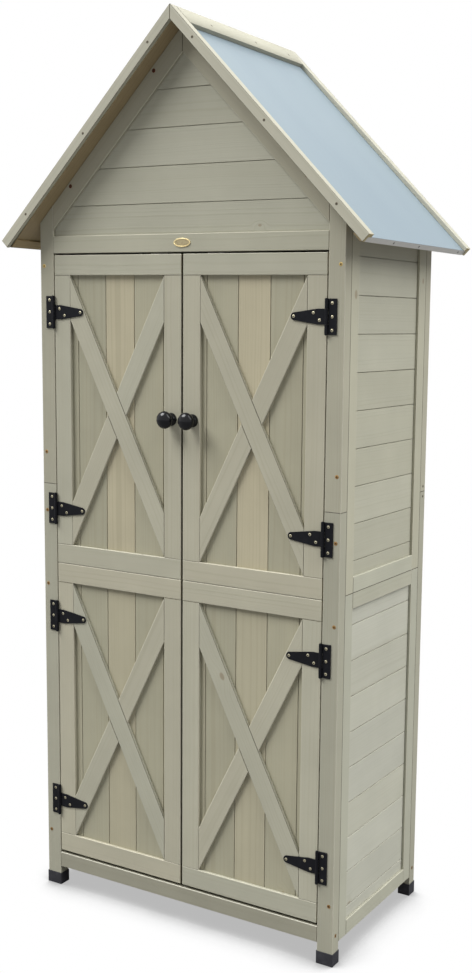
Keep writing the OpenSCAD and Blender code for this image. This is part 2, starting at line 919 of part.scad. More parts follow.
front_left_lower_post();
front_left_upper_post();
front_right_lower_post();
front_right_upper_post();
rear_lower_posts();
rear_upper_posts();
post_dowels();
foot_caps();
left_lower_panel_frame();
left_upper_panel_frame();
left_panel_boards();
right_lower_panel_frame();
right_upper_panel_frame();
right_panel_boards();
rear_lower_panel_frame();
rear_upper_panel_frame();
rear_panel_boards();
front_gable_rafters();
front_gable_boards();
rear_gable_rafters();
rear_gable_boards();
lintel();
sill();
floor_boards();
floor_bearers();
lower_shelf();
upper_shelf();
shelf_bearers();
left_roof_deck();
right_roof_deck();
left_roof_sheet();
right_roof_sheet();
eave_battens();
front_left_bargeboard();
front_right_bargeboard();
rear_left_bargeboard();
rear_right_bargeboard();
ridge_boards();
left_hinge_plates();
right_hinge_plates();
hinge_pins();
hinge_plate_screws();
lintel_plate();
door_catches();
left_leaf_upper_frame();
left_leaf_lower_frame();
left_leaf_boards();
left_leaf_braces();
left_leaf_inner_plates();
left_hinge_straps();
left_strap_screws();
left_knob();
right_leaf_upper_frame();
right_leaf_lower_frame();
right_leaf_boards();
right_leaf_braces();
right_leaf_inner_plates();
right_hinge_straps();
right_strap_screws();
right_knob();
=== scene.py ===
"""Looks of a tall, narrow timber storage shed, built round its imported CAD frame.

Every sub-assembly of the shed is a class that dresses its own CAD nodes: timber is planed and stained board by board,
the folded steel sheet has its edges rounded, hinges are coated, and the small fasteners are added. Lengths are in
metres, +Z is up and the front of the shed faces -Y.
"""

from __future__ import annotations

import json
import logging
import math
import random
from dataclasses import dataclass
from enum import Enum
from functools import cache

import bmesh
import bpy
from mathutils import Matrix, Vector
from mathutils.bvhtree import BVHTree

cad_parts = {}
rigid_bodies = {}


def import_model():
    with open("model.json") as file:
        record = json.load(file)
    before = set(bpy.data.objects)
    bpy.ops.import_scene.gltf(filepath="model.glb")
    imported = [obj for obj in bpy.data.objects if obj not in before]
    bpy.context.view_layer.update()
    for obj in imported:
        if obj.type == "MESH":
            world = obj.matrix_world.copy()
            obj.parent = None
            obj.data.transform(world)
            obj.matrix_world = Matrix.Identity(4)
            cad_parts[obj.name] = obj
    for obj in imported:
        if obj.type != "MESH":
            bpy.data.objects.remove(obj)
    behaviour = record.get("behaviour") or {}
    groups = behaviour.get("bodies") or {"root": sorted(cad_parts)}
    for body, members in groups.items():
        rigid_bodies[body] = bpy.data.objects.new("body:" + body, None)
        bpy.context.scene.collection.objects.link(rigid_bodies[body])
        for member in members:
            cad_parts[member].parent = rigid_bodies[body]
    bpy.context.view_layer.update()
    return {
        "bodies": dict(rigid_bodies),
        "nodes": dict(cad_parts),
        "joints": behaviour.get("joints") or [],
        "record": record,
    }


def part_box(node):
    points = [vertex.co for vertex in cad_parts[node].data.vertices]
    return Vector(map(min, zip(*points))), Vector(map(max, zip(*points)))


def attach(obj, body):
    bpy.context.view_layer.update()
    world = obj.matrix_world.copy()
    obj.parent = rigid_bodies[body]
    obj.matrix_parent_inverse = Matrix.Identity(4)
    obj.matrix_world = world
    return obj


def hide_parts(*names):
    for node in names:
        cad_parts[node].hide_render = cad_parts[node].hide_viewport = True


LOG = logging.getLogger("shed")
MM = 0.001
BODY = "cabinet"
TO_FRONT = Vector((0, -1, 0))
TO_RIGHT = Vector((1, 0, 0))
WHITE = (1.0, 1.0, 1.0, 1.0)

Colour = tuple[int, int, int]
Linear = tuple[float, float, float, float]
Mesh = bmesh.types.BMesh
Vert = bmesh.types.BMVert
Edge = bmesh.types.BMEdge
Face = bmesh.types.BMFace
Socket = bpy.types.NodeSocket
Value = Socket | float | tuple


def linear(colour: Colour) -> Linear:
    """Turns a colour as it is seen on a screen, from 0 to 255, into Blender's linear one."""
    shares = (level / 255 for level in colour)
    return (*(s / 12.92 if s <= 0.04045 else ((s + 0.055) / 1.055) ** 2.4 for s in shares), 1.0)


class Side(Enum):
    """The two sides of the shed, as seen from the front."""

    LEFT = "left"
    RIGHT = "right"

    @property
    def sign(self) -> int:
        """-1 on the left and +1 on the right, as X has it."""
        return -1 if self is Side.LEFT else 1


class Drive(Enum):
    """What the head of a fastener shows."""

    CROSS = "cross"
    PLAIN = "plain"


class Graph:
    """The node tree of a material or world, with a short method for each kind of node that the finishes use."""

    def __init__(self, owner: bpy.types.Material | bpy.types.World) -> None:
        """Empties the owner's tree.

        Args:
            owner: The nodes' material or world.
        """
        owner.use_nodes = True
        self.owner = owner
        self.tree = owner.node_tree
        self.tree.nodes.clear()

    def node(self, kind: str, inputs: dict[str | int, Value], **settings: object) -> bpy.types.Node:
        """Adds a node.

        Args:
            kind: Blender's name of it, after ShaderNode.
            inputs: An output to link, or a plain value, for each of its sockets.
            settings: Its own settings.

        Returns:
            The node.
        """
        node = self.tree.nodes.new(f"ShaderNode{kind}")
        for name, setting in settings.items():
            setattr(node, name, setting)
        for name, value in inputs.items():
            if isinstance(value, Socket):
                self.tree.links.new(value, node.inputs[name])
            else:
                node.inputs[name].default_value = value
        return node

    def attribute(self, name: str) -> bpy.types.ShaderNodeAttribute:
        """Reads a mesh attribute."""
        return self.node("Attribute", {}, attribute_type="GEOMETRY", attribute_name=name)

    def position(self) -> Socket:
        """The point on the piece, in its own frame."""
        return self.node("TexCoord", {}).outputs["Object"]

    def split(self, vector: Value) -> tuple[Socket, ...]:
        """Takes a vector apart into its X, Y and Z."""
        return tuple(self.node("SeparateXYZ", {0: vector}).outputs)

    def join(self, x: Value, y: Value, z: Value) -> Socket:
        """Makes a vector from X, Y and Z."""
        return self.node("CombineXYZ", {0: x, 1: y, 2: z}).outputs[0]

    def math(self, operation: str, a: Value, b: Value = 0.0, clamp: bool = False) -> Socket:
        """Does one sum, kept from 0 to 1 if clamp says so."""
        return self.node("Math", {0: a, 1: b}, operation=operation, use_clamp=clamp).outputs[0]

    def plus(self, a: Value, b: Value) -> Socket:
        """Adds two values."""
        return self.math("ADD", a, b)

    def times(self, a: Value, b: Value, clamp: bool = False) -> Socket:
        """Multiplies two values."""
        return self.math("MULTIPLY", a, b, clamp)

    def sway(self, value: Value, width: float) -> Socket:
        """Turns a share round 0.5 into a swing of a given width round 0."""
        return self.times(self.math("SUBTRACT", value, 0.5), width)

    def stretch(self, vector: Value, scale: tuple[float, float, float]) -> Socket:
        """Scales a vector axis by axis."""
        return self.node("VectorMath", {0: vector, 1: scale}, operation="MULTIPLY").outputs[0]

    def noise(self, place: Value, scale: float, detail: float = 2.0, rough: float = 0.5,
              space: str = "3D") -> Socket:
        """A soft random pattern from 0 to 1, at a point in space or, where space is 1D, along a value."""
        inputs = {"W" if space == "1D" else "Vector": place, "Scale": scale, "Detail": detail, "Roughness": rough}
        return self.node("TexNoise", inputs, noise_dimensions=space).outputs[0]

    def remap(self, value: Value, low: float, high: float, out_low: float, out_high: float,
              form: str = "LINEAR") -> Socket:
        """Maps a value from one range onto another and holds it there, along a line or a form that Blender names."""
        inputs = {"Value": value, "From Min": low, "From Max": high, "To Min": out_low, "To Max": out_high}
        return self.node("MapRange", inputs, interpolation_type=form).outputs[0]

    def step(self, value: Value, low: float, high: float, floor: float = 0.0) -> Socket:
        """A rounded step from a floor to 1."""
        return self.remap(value, low, high, floor, 1.0, "SMOOTHSTEP")

    def mix(self, share: Value, a: Value, b: Value, blend: str = "MIX") -> Socket:
        """Mixes two colours or sockets, with a share of the second."""
        a, b = (linear(c) if isinstance(c, tuple) and len(c) == 3 else c for c in (a, b))
        return self.node("Mix", {0: share, 6: a, 7: b}, data_type="RGBA", blend_type=blend).outputs[2]

    def dim(self, colour: Value, level: Value) -> Socket:
        """Multiplies a colour with a level of light."""
        return self.mix(1.0, colour, self.join(level, level, level), "MULTIPLY")

    def surface(self, height: Value, depth: float, strength: float, **values: Value) -> bpy.types.Material:
        """Ends a material with its relief and its Principled shader.

        Args:
            height: The relief from 0 to 1.
            depth: How deep that relief is, in metres.
            strength: Share of it that shows.
            values: Inputs of the shader, with underscores for spaces.

        Returns:
            The material.
        """
        relief = self.node("Bump", {"Strength": strength, "Distance": depth, "Height": height})
        inputs = {name.replace("_", " "): value for name, value in values.items()}
        shader = self.node("BsdfPrincipled", inputs | {"Normal": relief.outputs["Normal"]})
        self.node("OutputMaterial", {"Surface": shader.outputs["BSDF"]})
        return self.owner


@dataclass(frozen=True)
class TimberFinish:
    """Planed softwood under a thin stain, with rings, fibre, knots, dark joints, and open edges paler partly from
    rubbing and partly from a painted highlight.

    The pattern reads four attributes that every timber piece carries: grain, a place along, across and into the board;
    board, three random shares of that board; edge, which is 1 on an outer edge, rubbed and with a painted highlight, -1
    in a joint, and below 0 on faces that take painted shade; and cut, which is 1 on sawn ends.
    """

    name: str
    pale: Colour
    warm: Colour
    late: Colour
    knot: Colour = (120, 98, 70)
    rubbed_and_highlight: Colour = (212, 208, 190)
    sawn: Colour = (166, 156, 122)
    ring_contrast: float = 0.20
    fibre_contrast: float = 0.14
    streak_share: float = 0.30
    knot_share: float = 0.84
    knot_strength: float = 0.50
    sawn_strength: float = 0.55
    rubbed_and_highlight_strength: float = 0.35
    joint_strength: float = 0.95
    roughness: float = 0.62
    joint_colour: Linear = (0.055, 0.050, 0.036, 1.0)
    ring_scale: float = 430.0
    warp_depth: float = 0.010
    knot_cells: float = 7.0
    relief: float = 0.00035

    def make(self) -> bpy.types.Material:
        """Builds the material.

        Returns:
            The finished material.
        """
        g = Graph(bpy.data.materials.new(self.name))
        grain = g.attribute("grain").outputs["Vector"]
        tone, pith, seed = g.split(g.attribute("board").outputs["Vector"])
        edge, cut = (g.attribute(name).outputs["Fac"] for name in ("edge", "cut"))
        along, across, depth = g.split(grain)

        # Knots lie scattered over the face of the board, and the rings swerve round them.
        place = g.join(g.times(along, 0.62), g.plus(across, g.times(seed, 9.0)), 0.0)
        cells = g.node("TexVoronoi", {"Scale": self.knot_cells, "Vector": place}, voronoi_dimensions="2D")
        chance, size, _ = g.split(cells.outputs["Color"])
        present = g.math("GREATER_THAN", chance, self.knot_share)
        inside = g.math("DIVIDE", cells.outputs["Distance"], g.remap(size, 0.0, 1.0, 0.022, 0.052))
        knots, swirl = (g.times(g.step(inside, *ends), present) for ends in ((1.0, 0.55), (4.5, 0.6)))

        # The rings follow the distance from the heart of the tree, which lies behind the board and to one side.
        warp = g.noise(g.stretch(grain, (2.1, 9.0, 9.0)), 1.0)
        aside = g.plus(g.plus(across, g.sway(warp, 2 * self.warp_depth)), g.sway(pith, 0.10))
        behind = g.plus(g.plus(depth, 0.016), g.times(seed, 0.05))
        radius = g.math("SQRT", g.plus(g.times(aside, aside), g.times(behind, behind)))
        rings = g.noise(g.plus(radius, g.times(swirl, 0.006)), self.ring_scale, 3.0, 0.62, "1D")
        rings = g.step(rings, 0.44, 0.74)
        fibre = g.noise(g.stretch(grain, (9.0, 620.0, 620.0)), 1.0, 3.0, 0.65)
        streak = g.noise(g.stretch(grain, (1.3, 46.0, 46.0)), 1.0, 3.0, 0.6)
        mottle = g.noise(grain, 7.0, 3.0, 0.55)

        warmth = g.plus(tone, g.sway(streak, self.streak_share))
        colour = g.mix(g.remap(warmth, 0.0, 1.0, 0.0, 1.0), self.pale, self.warm)
        colour = g.mix(g.times(rings, self.ring_contrast), colour, self.late)
        colour = g.mix(g.times(g.step(fibre, 0.5, 0.8), self.fibre_contrast), colour, self.late)
        colour = g.dim(colour, g.remap(mottle, 0.25, 0.75, 0.93, 1.05))
        colour = g.dim(colour, g.remap(pith, 0.0, 1.0, 0.955, 1.03))
        colour = g.mix(g.times(knots, self.knot_strength), colour, self.knot)
        colour = g.mix(g.times(cut, self.sawn_strength), colour, self.sawn)
        # Open edges turn paler: partly rubbed wear, partly a painted highlight where light catches them.
        colour = g.mix(g.times(edge, self.rubbed_and_highlight_strength, clamp=True), colour, self.rubbed_and_highlight)
        # Joints turn dark, and faces that take painted shade, as where the door leaves meet, darken in the same colour.
        colour = g.mix(g.times(edge, -self.joint_strength, clamp=True), colour, self.joint_colour)

        rough = g.remap(rings, 0.0, 1.0, self.roughness, self.roughness - 0.08)
        height = g.plus(g.times(fibre, 0.55), g.times(rings, 0.30))
        return g.surface(height, self.relief, 0.7, Base_Color=colour, Roughness=rough, Specular_IOR_Level=0.4)


@dataclass(frozen=True)
class SheetFinish:
    """Coated steel sheet: a pale, soft metal with faint clouds and rolling lines."""

    name: str
    colour: Colour
    cloud: Colour
    metallic: float = 0.30
    roughness: float = 0.50

    def make(self) -> bpy.types.Material:
        """Builds the material.

        Returns:
            The finished material.
        """
        g = Graph(bpy.data.materials.new(self.name))
        place = g.position()
        clouds = g.noise(g.stretch(place, (1.6, 3.2, 1.6)), 1.0, 2.0, 0.45)
        rolling = g.noise(g.stretch(place, (3.0, 260.0, 3.0)), 1.0)
        colour = g.mix(g.step(clouds, 0.30, 0.70), self.colour, self.cloud)
        colour = g.dim(colour, g.remap(rolling, 0.2, 0.8, 0.985, 1.015))
        rough = g.remap(clouds, 0.2, 0.8, self.roughness - 0.05, self.roughness + 0.07)
        return g.surface(rolling, 0.00003, 0.5, Base_Color=colour, Metallic=self.metallic, Roughness=rough)


@dataclass(frozen=True)
class CoatFinish:
    """A coated, moulded or plated surface: patches of dust or tarnish on an even colour, over a fine orange peel."""

    name: str
    colour: Colour
    worn: Colour
    roughness: float
    grain_scale: float = 900.0
    relief: float = 0.00005
    metallic: float = 0.0
    spread: float = 0.10
    spread_start: float = 0.2
    shine: float = 0.5
    worn_share: float = 0.5
    worn_range: tuple[float, float] = (0.45, 0.85)
    patch_scale: float = 38.0
    patch_detail: float = 4.0
    peel_strength: float = 0.8

    def make(self) -> bpy.types.Material:
        """Builds the material.

        Returns:
            The finished material.
        """
        g = Graph(bpy.data.materials.new(self.name))
        place = g.position()
        patches = g.noise(place, self.patch_scale, self.patch_detail, 0.6)
        colour = g.mix(g.times(g.step(patches, *self.worn_range), self.worn_share), self.colour, self.worn)
        smooth, rough = (self.roughness + way * self.spread / 2 for way in (-1, 1))
        rough = g.remap(patches, self.spread_start, 0.8, smooth, rough)
        return g.surface(g.noise(place, self.grain_scale), self.relief, self.peel_strength, Base_Color=colour,
                         Roughness=rough, Metallic=self.metallic, Specular_IOR_Level=self.shine)


@dataclass(frozen=True)
class BrassFinish(CoatFinish):
    """Brass plating with a little tarnish."""

    roughness: float = 0.375
    grain_scale: float = 1500.0
    relief: float = 0.00004
    metallic: float = 0.85
    spread: float = 0.15
    spread_start: float = 0.3
    worn_share: float = 0.35
    worn_range: tuple[float, float] = (0.42, 0.72)
    patch_scale: float = 160.0
    patch_detail: float = 3.0
    peel_strength: float = 0.6


FINISHES = (
    TimberFinish("stained_frame", (168, 168, 152), (172, 169, 149), (142, 138, 116)),
    TimberFinish("stained_posts", (160, 159, 143), (165, 161, 142), (136, 132, 111), (116, 94, 66),
                 (208, 204, 186), (160, 150, 116)),
    # The sill is darker than the posts, and its open edges take a stronger painted highlight.
    TimberFinish("stained_sill", (144, 143, 130), (149, 146, 129), (128, 124, 104), (112, 90, 64),
                 (214, 212, 198), (152, 142, 110), rubbed_and_highlight_strength=0.6),
    TimberFinish("stained_leaf_frame", (170, 169, 152), (174, 169, 149), (145, 141, 119)),
    TimberFinish("stained_cladding", (180, 180, 167), (167, 165, 146), (143, 140, 119), (122, 100, 72),
                 (196, 192, 172), knot_share=0.78),
    # The door boards' grey colour, on the outer boards by the stiles, is partly painted shade.
    TimberFinish("stained_door_boards", (156, 154, 134), (179, 171, 145), (140, 133, 109), (126, 100, 66),
                 (196, 190, 168), ring_contrast=0.24, knot_share=0.80),
    # The roof trim's paler rubbed colour is largely a painted highlight on the lips, where light falls from above.
    TimberFinish("stained_roof_trim", (176, 175, 161), (181, 178, 160), (146, 141, 119), rubbed_and_highlight=(218, 213, 196),
                 sawn=(164, 148, 100), ring_contrast=0.18, sawn_strength=0.85),
    TimberFinish("deck_boards", (148, 134, 106), (158, 138, 100), (118, 99, 70), (88, 64, 42),
                 (160, 140, 104), (150, 132, 96), ring_contrast=0.45),
    TimberFinish("bare_softwood", (214, 192, 150), (220, 190, 138), (184, 146, 94), (120, 74, 40),
                 (228, 208, 170), (196, 164, 112), ring_contrast=0.5, knot_strength=0.8, roughness=0.7),
    SheetFinish("roof_steel", (132, 147, 155), (127, 142, 151)),
    # The folded ends are paler and greyer than the sheet: painted light, for the light they catch from the floor.
    SheetFinish("painted_light_fold_steel", (208, 207, 202), (198, 197, 193)),
    CoatFinish("hinge_coating", (17, 18, 22), (34, 34, 38), 0.50, 1400.0, 0.00008, shine=0.12),
    CoatFinish("knob_lacquer", (16, 16, 19), (26, 26, 29), 0.16, 500.0, 0.00002, spread=0.05, shine=0.25),
    CoatFinish("foot_plastic", (41, 41, 46), (74, 74, 78), 0.50, 700.0, 0.0003, shine=0.3),
    CoatFinish("catch_plastic", (228, 227, 220), (204, 202, 192), 0.48, 700.0),
    CoatFinish("zinc_plating", (176, 178, 180), (150, 150, 150), 0.34, 400.0, metallic=0.9),
    CoatFinish("nail_grey", (92, 90, 88), (70, 62, 56), 0.45, metallic=0.7),
    CoatFinish("screw_recess", (44, 34, 26), (70, 54, 38), 0.6, metallic=0.3),
    BrassFinish("screw_brass", (190, 184, 158), (140, 122, 88)),
    BrassFinish("screw_gilt", (196, 170, 108), (140, 112, 66)),
    BrassFinish("screw_bronze", (176, 138, 84), (112, 76, 44), worn_share=0.6),
    BrassFinish("screw_grey", (112, 106, 92), (66, 60, 50), 0.575, worn_share=0.6),
    BrassFinish("screw_rust", (104, 52, 36), (64, 34, 26), 0.575, worn_share=0.6),
    BrassFinish("plate_brass", (226, 208, 158), (186, 160, 104), worn_share=0.25),
    BrassFinish("plate_field", (166, 154, 122), (122, 108, 80), 0.495, relief=0.0002, worn_share=0.5),
)


@cache
def material(name: str) -> bpy.types.Material:
    """The material of a finish, made when it is first asked for."""
    return next(finish for finish in FINISHES if finish.name == name).make()


@dataclass(frozen=True)
class Board:
    """One solid of a timber piece: its middle, its axes along, across and into it, and its random shares."""

    middle: Vector
    axes: tuple[Vector, Vector, Vector]
    shares: Vector

    def place(self, point: Vector) -> Vector:
        """A point as distances along the axes, shifted along the grain so that no two boards look alike."""
        along, *others = ((point - self.middle).dot(axis) for axis in self.axes)
        return Vector((along + (self.shares.x * 17.0 + self.shares.y * 5.0), *others))


def loose_parts(mesh: Mesh) -> list[list[Vert]]:
    """Groups the points of a mesh by solid.

    Args:
        mesh: The mesh to read.

    Returns:
        The points of each solid, in the mesh's order.
    """
    parts, seen = [], set()
    for seed in mesh.verts:
        if seed.index in seen:
            continue
        part, fresh = [], [seed]
        seen.add(seed.index)
        while fresh:
            vert = fresh.pop()
            part.append(vert)
            for link in vert.link_edges:
                other = link.other_vert(vert)
                if other.index not in seen:
                    seen.add(other.index)
                    fresh.append(other)
        parts.append(part)
    return parts


def merged_copy(node: bpy.types.Object) -> Mesh:
    """Copies a CAD node's triangles into a closed mesh with flat faces.

    Args:
        node: The CAD node's object.

    Returns:
        The new mesh, which the caller frees.
    """
    mesh = bmesh.new()
    mesh.from_mesh(node.data)
    bmesh.ops.remove_doubles(mesh, verts=mesh.verts, dist=0.002 * MM)
    bmesh.ops.dissolve_limit(mesh, angle_limit=math.radians(0.6), verts=mesh.verts, edges=mesh.edges)
    mesh.normal_update()
    return mesh


def add_object(name: str, mesh: Mesh) -> bpy.types.Object:
    """Adds an object to the scene.

    Args:
        name: Name of the object.
        mesh: Its mesh, in the shed's frame, which is freed.

    Returns:
        The new object.
    """
    data = bpy.data.meshes.new(name)
    mesh.to_mesh(data)
    mesh.free()
    made = bpy.data.objects.new(name, data)
    bpy.context.scene.collection.objects.link(made)
    return made


def new_verts(made: dict) -> list[Vert]:
    """The points that a bmesh operator made."""
    return [v for v in made["geom"] if isinstance(v, Vert)]


def sharp_edges(mesh: Mesh, shortest: float, angle: float = 25.0) -> list[Edge]:
    """Finds the outer edges of a mesh that are to be rounded.

    Args:
        mesh: The mesh to read.
        shortest: Edges shorter than this are left out.
        angle: So are those where the faces turn by less than this, in degrees.

    Returns:
        The edges.
    """
    return [
        e for e in mesh.edges
        if len(e.link_faces) == 2 and e.is_convex and e.calc_length() >= shortest
        and e.calc_face_angle(0.0) > math.radians(angle)
    ]


def round_edges(mesh: Mesh, edges: list[Edge], width: float, segments: int, clamp: bool) -> list[Face]:
    """Rounds edges of a mesh.

    Args:
        mesh: The mesh to change.
        edges: The edges.
        width: Width of the rounding.
        segments: Number of strips in it.
        clamp: Whether the width gives way where faces are small.

    Returns:
        The new faces.
    """
    made = bmesh.ops.bevel(mesh, geom=edges, offset=width, offset_type="OFFSET", segments=segments, profile=0.5,
                           affect="EDGES", clamp_overlap=clamp, material=-1)
    mesh.normal_update()
    return made["faces"]


def seat_on(mesh: Mesh, node: str) -> None:
    """Turns a mesh that stands on Z = 0 to the front, and seats it where a CAD node's box ends behind.

    Args:
        mesh: The mesh to move.
        node: Name of the CAD node.
    """
    low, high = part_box(node)
    seat = Vector(((low.x + high.x) / 2, high.y, (low.z + high.z) / 2))
    turn = Matrix.Translation(seat) @ Matrix.Rotation(math.radians(90), 4, "X")
    bmesh.ops.transform(mesh, matrix=turn, verts=mesh.verts)


@dataclass
class Surroundings:
    """Every solid of the CAD frame, asked whether it covers a spot on a face."""

    nodes: dict[str, bpy.types.Object]
    start: float = 0.01 * MM
    reach: float = 0.6 * MM
    inset: float = 2.0 * MM

    def __post_init__(self) -> None:
        """Gathers the triangles of all CAD nodes in one tree."""
        corners, triangles = [], []
        for name in sorted(self.nodes):
            data = self.nodes[name].data
            first = len(corners)
            corners += [v.co.copy() for v in data.vertices]
            triangles += [[first + i for i in p.vertices] for p in data.polygons]
        self.tree = BVHTree.FromPolygons(corners, triangles)

    def joined(self, edge: Edge) -> bool:
        """Whether another solid lies against either face of an edge, close to the edge.

        Args:
            edge: An edge between two faces.

        Returns:
            True in a joint, and False on an open edge.
        """
        first, last = (v.co for v in edge.verts)
        middle = (first + last) / 2
        way = (last - first).normalized()
        for face in edge.link_faces:
            inward = face.normal.cross(way)
            if inward.dot(face.calc_center_median() - middle) < 0:
                inward.negate()
            spot = middle + inward * self.inset + face.normal * self.start
            if self.tree.ray_cast(spot, face.normal, self.reach)[0] is not None:
                return True
        return False


@dataclass(frozen=True)
class Head:
    """A fastener's head: its size, what it shows and its two finishes."""

    radius: float
    height: float
    finish: str
    recess_finish: str = "screw_recess"
    drive: Drive = Drive.CROSS
    cross_share: float = 0.62
    cross_width: float = 0.17
    cross_taper: float = 0.8
    cross_depth: float = 0.75
    crown: float = 0.65
    crown_power: float = 2.4

    def build(self) -> Mesh:
        """Models the head at the origin, standing on Z = 0 and looking along +Z.

        Returns:
            The mesh, with the recess in its second material.
        """
        mesh = bmesh.new()
        steps = {1.0: 1.0, 0.6: self.cross_share, 0.2: self.cross_width}
        bmesh.ops.create_grid(mesh, x_segments=5, y_segments=5, size=1.0)
        for vert in mesh.verts:
            vert.co = self._dome(*(math.copysign(steps[abs(round(c, 3))], c) for c in vert.co.xy))
        if self.drive is Drive.CROSS:
            self._sink_cross(mesh)
        self._add_skirt(mesh)
        mesh.normal_update()
        return mesh

    def _dome(self, x: float, y: float) -> Vector:
        """Places a point of the square grid on the round head.

        Args:
            x: Place across the head, from -1 to 1.
            y: Place up the head, from -1 to 1.

        Returns:
            The point, in metres.
        """
        reach = max(abs(x), abs(y))
        length = math.hypot(x, y)
        out = reach if reach > self.cross_share - 0.01 else length
        point = Vector((x, y, 0.0)) * (self.radius * out / length)
        point.z = self.height * (1.0 - self.crown * out ** self.crown_power)
        return point

    def _sink_cross(self, mesh: Mesh) -> None:
        """Presses the cross of the drive into the head.

        Args:
            mesh: The head's mesh.
        """
        arm = self.radius * self.cross_width * 1.05
        end = self.radius * self.cross_share
        centres = {f: f.calc_center_median() for f in mesh.faces}
        cross = [f for f, c in centres.items() if min(abs(c.x), abs(c.y)) < arm * 0.5 and c.length < end]
        low = new_verts(bmesh.ops.extrude_face_region(mesh, geom=cross))
        bmesh.ops.delete(mesh, geom=cross, context="FACES_ONLY")
        for vert in low:
            x, y, z = vert.co
            vert.co = Vector((x * self.cross_taper, y * self.cross_taper, z - self.height * self.cross_depth))
            for face in vert.link_faces:
                face.material_index = 1

    @staticmethod
    def _add_skirt(mesh: Mesh) -> None:
        """Closes the head down to the surface that it sits on.

        Args:
            mesh: The head's mesh.
        """
        made = bmesh.ops.extrude_edge_only(mesh, edges=[e for e in mesh.edges if e.is_boundary])
        for vert in new_verts(made):
            vert.co.z = 0.0
        bottom = [e for e in made["geom"] if isinstance(e, Edge) and e.is_boundary]
        bmesh.ops.contextual_create(mesh, geom=bottom)
        bmesh.ops.recalc_face_normals(mesh, faces=mesh.faces)


HINGE_HEAD = Head(3.0 * MM, 1.0 * MM, "screw_brass")
TIMBER_HEAD = Head(4.0 * MM, 0.5 * MM, "screw_bronze")
GILT_HEAD = Head(4.0 * MM, 0.5 * MM, "screw_gilt")
RUST_HEAD = Head(4.2 * MM, 0.4 * MM, "screw_rust")
TRIM_HEAD = Head(2.9 * MM, 0.4 * MM, "screw_grey")
NAIL_HEAD = Head(2.4 * MM, 0.6 * MM, "nail_grey", "nail_grey", Drive.PLAIN)


@dataclass(frozen=True)
class Spot:
    """A place for a fastener: its point and the way that it looks."""

    point: Vector
    out: Vector

    def matrix(self, turn: float) -> Matrix:
        """The transform that turns a head on its axis and takes it from the origin to this place."""
        aim = self.out.to_track_quat("Z", "Y").to_matrix().to_4x4()
        return Matrix.Translation(self.point) @ aim @ Matrix.Rotation(turn, 4, "Z")


def both_sides(places: list[Vector], out: Vector) -> list[Spot]:
    """Spots on the right side of the shed, at these points and looking this way, after their mirror images."""
    flips = [Vector((side.sign, 1, 1)) for side in Side]
    return [Spot(place * flip, out * flip) for flip in flips for place in places]


